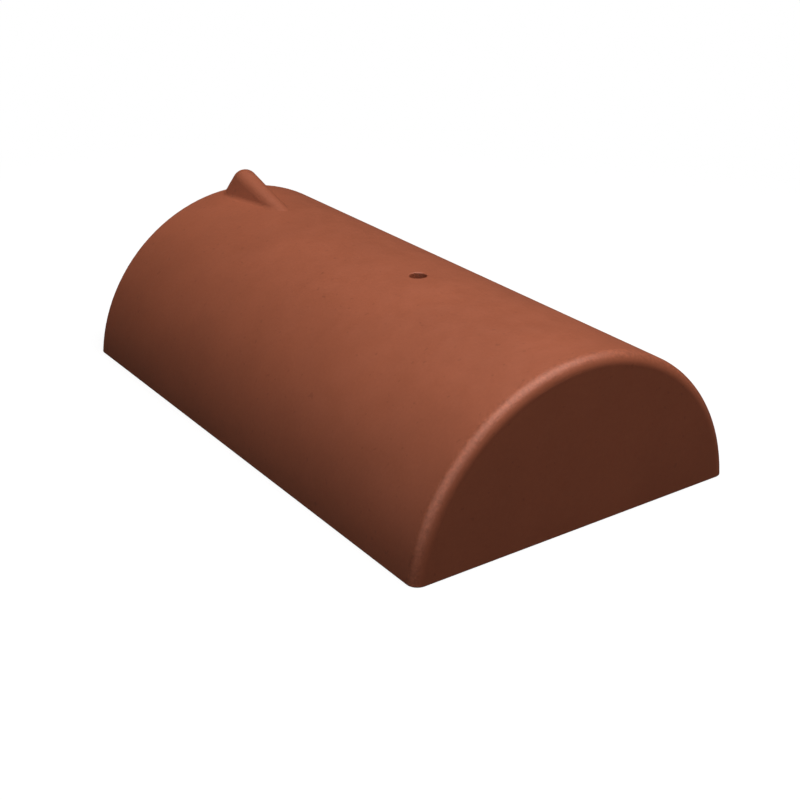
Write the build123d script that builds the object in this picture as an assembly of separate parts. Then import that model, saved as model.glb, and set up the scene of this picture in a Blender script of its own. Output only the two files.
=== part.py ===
from build123d import *
import math
import os

# Half-round clay ridge end tile: a straight barrel, open below and at the back,
# closed at the front by a flat wall, with a nib and a fixing hole on its crown line.
# Frame: middle of the base, X across, Y along to the open end, Z up.

# Overall sizes
tile_length = 424.0
tile_width = 250.0
crown_height = 113.0

# Fired wall
wall = 14.0
end_wall = 14.0

# Edges
end_edge_radius = 7.5
inner_corner_radius = 8.0
corner_radius = 1.5
arris_radius = 0.6

# Fixing hole on the crown
hole_diameter = 11.8
hole_from_front = 172.7
hole_rim_radius = 0.9

# Nib on the crown: the insets are measured from the open end
nib_rise = 20.0
nib_back_inset = 4.0
nib_peak_inset = 10.0
nib_tip_inset = 79.0
nib_peak_top_radius = 10.2
nib_tip_top_radius = 7.5
nib_peak_radius = 9.0
nib_foot_radius = 4.0
nib_flank_angle = 26.0

# How far a cut or a hidden end runs past a face
overrun = 20.0

# The outside is an arc through both base edges and the crown
half_length = tile_length / 2
half_width = tile_width / 2
outer_radius = (half_width**2 + crown_height**2) / (2 * crown_height)
inner_radius = outer_radius - wall
axis_z = crown_height - outer_radius
hole_y = hole_from_front - half_length


def bar(radius, front_y, back_y):
    # Round bar about the axis of the arc
    along = Cylinder(radius, back_y - front_y, rotation=(90, 0, 0))
    return Pos(0, (front_y + back_y) / 2, axis_z) * along


def front_rim(solid):
    return solid.edges().filter_by(GeomType.CIRCLE).sort_by(Axis.Y)[0]


def nib_section(inset):
    # Wedge with a round top, across the nib at this distance from the open end
    peak_share = (nib_tip_inset - inset) / (nib_tip_inset - nib_peak_inset)
    top_radius = nib_tip_top_radius + (nib_peak_top_radius - nib_tip_top_radius) * peak_share
    lean = math.radians(nib_flank_angle)
    y = half_length - inset
    top_z = crown_height + nib_rise * peak_share
    side_x = top_radius * math.cos(lean)
    side_z = top_z - top_radius + top_radius * math.sin(lean)
    foot_z = crown_height - nib_rise
    foot_x = side_x + (side_z - foot_z) * math.tan(lean)
    left_foot = (-foot_x, y, foot_z)
    left_side = (-side_x, y, side_z)
    right_side = (side_x, y, side_z)
    right_foot = (foot_x, y, foot_z)
    edges = [
        Edge.make_line(left_foot, left_side),
        Edge.make_three_point_arc(left_side, (0, y, top_z), right_side),
        Edge.make_line(right_side, right_foot),
        Edge.make_line(right_foot, left_foot),
    ]
    return Face(Wire(edges))


# Solid half-round block with its front edge rounded
block = bar(outer_radius, -half_length, half_length)
block = fillet(front_rim(block), end_edge_radius)

# Nib: a wedge that falls and narrows towards the front, cut off by a slope at the back
nib = loft([nib_section(-overrun), nib_section(nib_tip_inset + overrun)], ruled=True)
back_angle = math.atan2(nib_rise, nib_peak_inset - nib_back_inset)
back_slope = Plane(
    origin=(0, half_length - nib_back_inset, crown_height),
    x_dir=(1, 0, 0),
    z_dir=(0, math.sin(back_angle), math.cos(back_angle)),
)
nib -= back_slope * Box(tile_width, tile_width, tile_width, align=(Align.CENTER, Align.CENTER, Align.MIN))
back_face = nib.faces().filter_by(back_slope).sort_by(Axis.Z)[-1]
back_edges = [edge for edge in back_face.edges() if edge.center().Z > crown_height - nib_rise / 2]
nib = fillet(back_edges, nib_peak_radius)
nib = nib & bar(tile_width, -half_length, half_length - nib_back_inset / 2)

# The foot of the nib blends into the crown
crowned = block + nib
crowned = fillet(new_edges(block, nib, combined=crowned), nib_foot_radius)

# The hollow, with a rounded corner against the end wall
hollow = bar(inner_radius, -half_length + end_wall, half_length + overrun)
hollow = fillet(front_rim(hollow), inner_corner_radius)
shell = crowned - hollow

# Fixing hole with a rounded rim
drill = Pos(0, hole_y, crown_height) * Cylinder(hole_diameter / 2, 2 * (wall + overrun))
below = Pos(0, 0, -outer_radius) * Box(2 * tile_width, 2 * tile_length, 2 * outer_radius)
shell = shell - drill - below
rim = [edge for edge in new_edges(crowned, drill, combined=shell) if edge.center().Z > crown_height - wall / 2]
shell = fillet(rim, hole_rim_radius)

# The two corners at the open end are rounded, then a small arris runs round both faces
open_feet = shell.edges().filter_by(GeomType.LINE).filter_by(Axis.X).group_by(Axis.Y)[-1]
shell = fillet(open_feet.group_by(Axis.Z)[0], corner_radius)
base_edges = shell.faces().sort_by(Axis.Z)[0].edges()
open_edges = shell.faces().sort_by(Axis.Y)[-1].edges()
tile = fillet(base_edges + open_edges, arris_radius)

os.makedirs("parts", exist_ok=True)
export_step(tile, "parts/ridge_end_tile.step")
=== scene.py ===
import bpy
import math
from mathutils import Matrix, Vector


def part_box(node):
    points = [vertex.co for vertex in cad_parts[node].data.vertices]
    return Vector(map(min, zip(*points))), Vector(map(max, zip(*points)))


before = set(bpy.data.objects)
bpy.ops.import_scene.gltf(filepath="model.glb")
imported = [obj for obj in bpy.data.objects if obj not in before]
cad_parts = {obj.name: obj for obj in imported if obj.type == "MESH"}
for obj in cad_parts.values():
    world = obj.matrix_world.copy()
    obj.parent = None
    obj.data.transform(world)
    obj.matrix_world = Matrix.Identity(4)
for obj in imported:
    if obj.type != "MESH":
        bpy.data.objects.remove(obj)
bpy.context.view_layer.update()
scene = bpy.context.scene
scene.view_settings.view_transform = "Standard"
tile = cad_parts["ridge_end_tile"]
tileLow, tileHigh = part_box("ridge_end_tile")
print("frame loaded:", ", ".join(sorted(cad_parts)))

# the tile's shell in metres, its outside an arc through both base edges and the crown
shell = dict(crown=0.113, wall=0.014, endRounding=0.0075)
closedEnd, halfWidth = tileLow.y, tileHigh.x
outsideRadius = (halfWidth**2 + shell["crown"]**2) / (2 * shell["crown"])
insideRadius = outsideRadius - shell["wall"]
axisHeight = shell["crown"] - outsideRadius
hollowStart = closedEnd + shell["wall"]
hollowHalf = halfWidth - shell["wall"]
halfWall = shell["wall"] / 2

# helpers for node trees
nodeStep = (220, 320)  # spacing in the node editor


def addNode(tree, kind, values=None, **settings):
    node = tree.nodes.new(kind)
    for name, value in settings.items():
        setattr(node, name, value)
    for socket, value in (values or {}).items():
        node.inputs[socket].default_value = value
    return node


def arrangeNodes(tree, last):
    # a column for each step back from the last node
    columns = {last.name: 0}
    waiting = [last]
    while waiting:
        node = waiting.pop()
        column = columns[node.name] + 1
        for link in [link for socket in node.inputs for link in socket.links]:
            if column > columns.get(link.from_node.name, 0):
                columns[link.from_node.name] = column
                waiting.append(link.from_node)
    filled = {}
    for name, column in columns.items():
        row = filled.get(column, 0)
        tree.nodes[name].location = (-column * nodeStep[0], -row * nodeStep[1])
        filled[column] = row + 1


def grey(level):
    return (level, level, level, 1)


def noise(tree, coords, pattern):
    values = {"Scale": 1 / pattern["size"], "Detail": pattern["detail"], "Roughness": pattern["rough"]}
    node = addNode(tree, "ShaderNodeTexNoise", values)
    tree.links.new(coords, node.inputs["Vector"])
    return node.outputs[0]


def ramp(tree, source, start, end, low=0.0, high=1.0):
    # goes smoothly from low to high as the source goes from start to end
    values = {"From Min": start, "From Max": end, "To Min": low, "To Max": high}
    node = addNode(tree, "ShaderNodeMapRange", values, interpolation_type="SMOOTHSTEP")
    tree.links.new(source, node.inputs["Value"])
    return node.outputs[0]


def calc(tree, operation, *terms, clamp=False):
    # a term is a plain number or another node's socket
    node = addNode(tree, "ShaderNodeMath", operation=operation, use_clamp=clamp)
    for socket, term in zip(node.inputs, terms):
        if isinstance(term, float):
            socket.default_value = term
        else:
            tree.links.new(term, socket)
    return node.outputs[0]


def mixShaders(tree, share, first, second):
    node = addNode(tree, "ShaderNodeMixShader")
    for socket, source in zip(node.inputs, (share, first, second)):
        tree.links.new(source, socket)
    return node.outputs[0]


def newMaterial(name):
    material = bpy.data.materials.new(name)
    material.use_nodes = True
    return material, material.node_tree


# fired clay of the tile: sizes and heights in metres, changes of colour as shares of it
clay = dict(
    colour=(0.378, 0.1055, 0.0515),  # plain red body
    mottle=dict(size=0.055, detail=3, rough=0.5, change=0.04),  # slow, from the firing
    spots=dict(size=0.0045, detail=1, rough=0.5, change=0.16, reach=(0.7, 0.76)),  # a few darker grains
    sand=dict(size=0.0022, detail=2, rough=0.6, change=0.17, height=0.00004),  # fine, in the skin
    edgeSand=5.5,  # the rounded end edge is this many times sandier
    edgeOn=(1.45, 0.8), edgeOff=(0.33, 0.03),  # where it is, in roundings from the closed end
    patches=dict(size=0.012, detail=3, rough=0.5, height=0.00006),  # faint unevenness
    sheen=(0.44, 0.51),  # roughness of the satin skin, from patch to patch
    hollowDull=0.14,  # the hollow is left rougher by this
    gloss=0.82, glossTint=(1.0, 0.56, 0.46), bend=1.6,  # warm highlight
)
noiseRange = (0.3, 0.7)  # nearly all of a noise lies between these
noiseMiddle = 0.5


def claySand(tree, coords, along):
    # stands out along the rounded end edge, and goes back to plain on the end face
    edge = shell["endRounding"]
    on = [closedEnd + share * edge for share in clay["edgeOn"]]
    off = [closedEnd + share * edge for share in clay["edgeOff"]]
    sandy = ramp(tree, along, *on, 1, clay["edgeSand"])
    plain = ramp(tree, along, *off, 1, 1 / clay["edgeSand"])
    strength = calc(tree, "MULTIPLY", sandy, plain)
    sand = calc(tree, "SUBTRACT", noise(tree, coords, clay["sand"]), noiseMiddle)
    return calc(tree, "MULTIPLY", sand, strength)


def clayColour(tree, coords, sand, shader):
    mottle, spots = clay["mottle"], clay["spots"]
    slow = noise(tree, coords, mottle)
    slow = ramp(tree, slow, *noiseRange, 1 - mottle["change"], 1 + mottle["change"])
    dark = noise(tree, coords, spots)
    dark = ramp(tree, dark, *spots["reach"], 1, 1 - spots["change"])
    fine = calc(tree, "MULTIPLY", sand, clay["sand"]["change"])
    fine = calc(tree, "ADD", fine, 1.0)
    share = calc(tree, "MULTIPLY", slow, fine)
    share = calc(tree, "MULTIPLY", share, dark)
    body = addNode(tree, "ShaderNodeVectorMath", {0: clay["colour"]}, operation="SCALE")
    tree.links.new(share, body.inputs["Scale"])
    tree.links.new(body.outputs[0], shader.inputs["Base Color"])


def hollowMask(tree, coords, along):
    # the inside: nearer to the barrel's axis than its wall, and behind the end wall
    fromAxis = {1: (1, 0, 1), 2: (0, 0, -axisHeight)}
    flat = addNode(tree, "ShaderNodeVectorMath", fromAxis, operation="MULTIPLY_ADD")
    tree.links.new(coords, flat.inputs[0])
    radius = addNode(tree, "ShaderNodeVectorMath", operation="LENGTH")
    tree.links.new(flat.outputs[0], radius.inputs[0])
    within = ramp(tree, radius.outputs["Value"], insideRadius, insideRadius + halfWall, 1, 0)
    behind = ramp(tree, along, hollowStart - halfWall, hollowStart)
    return calc(tree, "MULTIPLY", within, behind)


def claySheen(tree, coords, along, patches, shader):
    dull = ramp(tree, patches, *noiseRange, *clay["sheen"])
    inside = calc(tree, "MULTIPLY", hollowMask(tree, coords, along), clay["hollowDull"])
    tree.links.new(calc(tree, "ADD", dull, inside), shader.inputs["Roughness"])
    shader.inputs["IOR"].default_value = clay["bend"]
    shader.inputs["Specular IOR Level"].default_value = clay["gloss"]
    shader.inputs["Specular Tint"].default_value = (*clay["glossTint"], 1)


def clayRelief(tree, sand, patches, shader):
    patchBump = addNode(tree, "ShaderNodeBump", {"Distance": clay["patches"]["height"]})
    sandBump = addNode(tree, "ShaderNodeBump", {"Distance": clay["sand"]["height"]})
    tree.links.new(patches, patchBump.inputs["Height"])
    tree.links.new(sand, sandBump.inputs["Height"])
    tree.links.new(patchBump.outputs[0], sandBump.inputs["Normal"])
    tree.links.new(sandBump.outputs[0], shader.inputs["Normal"])


def clayMaterial():
    material, tree = newMaterial("firedClay")
    shader = tree.nodes["Principled BSDF"]
    coords = addNode(tree, "ShaderNodeTexCoord").outputs["Object"]
    split = addNode(tree, "ShaderNodeSeparateXYZ")
    tree.links.new(coords, split.inputs[0])
    along = split.outputs["Y"]
    sand = claySand(tree, coords, along)
    patches = noise(tree, coords, clay["patches"])
    clayColour(tree, coords, sand, shader)
    claySheen(tree, coords, along, patches, shader)
    clayRelief(tree, sand, patches, shader)
    arrangeNodes(tree, tree.nodes["Material Output"])
    return material


tile.data.materials.clear()
tile.data.materials.append(clayMaterial())
print("tile finished in fired clay")

# camera where the photo was taken from, in metres, degrees and millimetres
camera = dict(place=(-0.5306, -0.7825, 0.4437), turn=34.761, dip=24.843, lens=65.054, sensor=36.0)


def setCamera():
    data = bpy.data.cameras.new("photoCamera")
    data.sensor_width = camera["sensor"]
    data.lens = camera["lens"]
    obj = bpy.data.objects.new("photoCamera", data)
    obj.location = camera["place"]
    obj.rotation_euler = (math.pi / 2 - math.radians(camera["dip"]), 0, -math.radians(camera["turn"]))
    scene.collection.objects.link(obj)
    scene.camera = obj


setCamera()
print("camera set")

# pale floor and backdrop: white to the camera, dim to the clay, lengths in metres
studio = dict(
    floorHalf=8.0,
    backdrop=1.0,  # white, as the camera sees it
    skyDim=0.012, floorDim=0.02,  # what lights the clay from around it
    glossShare=0.02,  # the dull clay mirrors this much of the white
    shadowGlow=0.85, shadowShade=0.2,  # round the tile, where its shadow falls
    shadowReach=(0.42, 0.8),  # from here to here the floor turns plain white
    hollowFloor=0.85,  # under the tile, lit by the lamps alone
    hollowMouth=(-0.05, 0.27),  # along the tile, from that floor to the open one
)


def whiteMask(tree):
    # camera and see-through rays meet the white, mirrored ones a little of it
    path = addNode(tree, "ShaderNodeLightPath").outputs
    seen = calc(tree, "ADD", path["Is Camera Ray"], path["Is Transmission Ray"])
    mirrored = calc(tree, "MULTIPLY", path["Is Glossy Ray"], studio["glossShare"])
    return calc(tree, "ADD", seen, mirrored, clamp=True)


def openFloorMask(tree, coords):
    # everywhere but under the tile, where the floor stays in its shade
    split = addNode(tree, "ShaderNodeSeparateXYZ")
    tree.links.new(coords, split.inputs[0])
    aside = calc(tree, "ABSOLUTE", split.outputs["X"])
    side = ramp(tree, aside, hollowHalf, hollowHalf + halfWall)
    front = ramp(tree, split.outputs["Y"], hollowStart, hollowStart - halfWall)
    mouth = ramp(tree, split.outputs["Y"], *studio["hollowMouth"])
    ends = calc(tree, "MAXIMUM", front, mouth)
    return calc(tree, "MAXIMUM", side, ends)


def floorMaterial():
    material, tree = newMaterial("paleFloor")
    tree.nodes.remove(tree.nodes["Principled BSDF"])
    coords = addNode(tree, "ShaderNodeTexCoord").outputs["Object"]
    # round the tile: a glow with a little shade added, so that the shadow shows
    shade = addNode(tree, "ShaderNodeBsdfDiffuse", {"Color": grey(studio["shadowShade"])})
    glow = addNode(tree, "ShaderNodeEmission", {"Strength": studio["shadowGlow"]})
    near = addNode(tree, "ShaderNodeAddShader")
    tree.links.new(shade.outputs[0], near.inputs[0])
    tree.links.new(glow.outputs[0], near.inputs[1])
    # further off: plain white
    white = addNode(tree, "ShaderNodeEmission", {"Strength": studio["backdrop"]})
    away = addNode(tree, "ShaderNodeVectorMath", operation="LENGTH")
    tree.links.new(coords, away.inputs[0])
    far = ramp(tree, away.outputs["Value"], *studio["shadowReach"])
    pale = mixShaders(tree, far, near.outputs[0], white.outputs[0])
    # what the camera doesn't see lights the clay only dimly, but the hollow keeps a real floor
    dim = addNode(tree, "ShaderNodeBsdfDiffuse", {"Color": grey(studio["floorDim"])})
    openFloor = mixShaders(tree, whiteMask(tree), dim.outputs[0], pale)
    bare = addNode(tree, "ShaderNodeBsdfDiffuse", {"Color": grey(studio["hollowFloor"])})
    surface = mixShaders(tree, openFloorMask(tree, coords), bare.outputs[0], openFloor)
    out = tree.nodes["Material Output"]
    tree.links.new(surface, out.inputs["Surface"])
    arrangeNodes(tree, out)
    return material


def setFloor():
    half = studio["floorHalf"]
    mesh = bpy.data.meshes.new("floor")
    corners = [(-half, -half, 0), (half, -half, 0), (half, half, 0), (-half, half, 0)]
    mesh.from_pydata(corners, [], [(0, 1, 2, 3)])
    mesh.materials.append(floorMaterial())
    obj = bpy.data.objects.new("floor", mesh)
    scene.collection.objects.link(obj)


def setWorld():
    world = bpy.data.worlds.new("studioSky")
    world.use_nodes = True
    tree = world.node_tree
    sky = tree.nodes["Background"]
    sky.inputs["Color"].default_value = grey(1)
    level = ramp(tree, whiteMask(tree), 0, 1, studio["skyDim"], studio["backdrop"])
    tree.links.new(level, sky.inputs["Strength"])
    arrangeNodes(tree, tree.nodes["World Output"])
    scene.world = world


setFloor()
setWorld()
print("floor and backdrop set")

# soft boxes, in metres and watts: a box may light the tile, show as a highlight on it, or both
softBoxes = dict(
    overhead=dict(place=(0.07, -0.44, 1.6), size=(2.4, 1.6), power=34.6, lights=True, shows=True),
    leftEdge=dict(place=(-1.35, -0.65, 0.78), size=(2.6, 1.2), power=11.0, lights=False, shows=True),
    rear=dict(place=(0.0, 1.4, 0.14), size=(0.4, 0.26), power=10.0, lights=True, shows=False),
)
softBoxAim = (0, 0, 0.06)  # the middle of the tile


def setSoftBoxes():
    for name, box in softBoxes.items():
        data = bpy.data.lights.new(name, "AREA")
        data.shape = "ELLIPSE"
        data.size, data.size_y = box["size"]
        data.energy = box["power"]
        obj = bpy.data.objects.new(name, data)
        obj.location = box["place"]
        aim = Vector(softBoxAim) - obj.location
        obj.rotation_euler = aim.to_track_quat("-Z", "Y").to_euler()
        obj.visible_diffuse = box["lights"]
        obj.visible_glossy = box["shows"]
        scene.collection.objects.link(obj)


setSoftBoxes()
print("studio lit by", ", ".join(softBoxes))
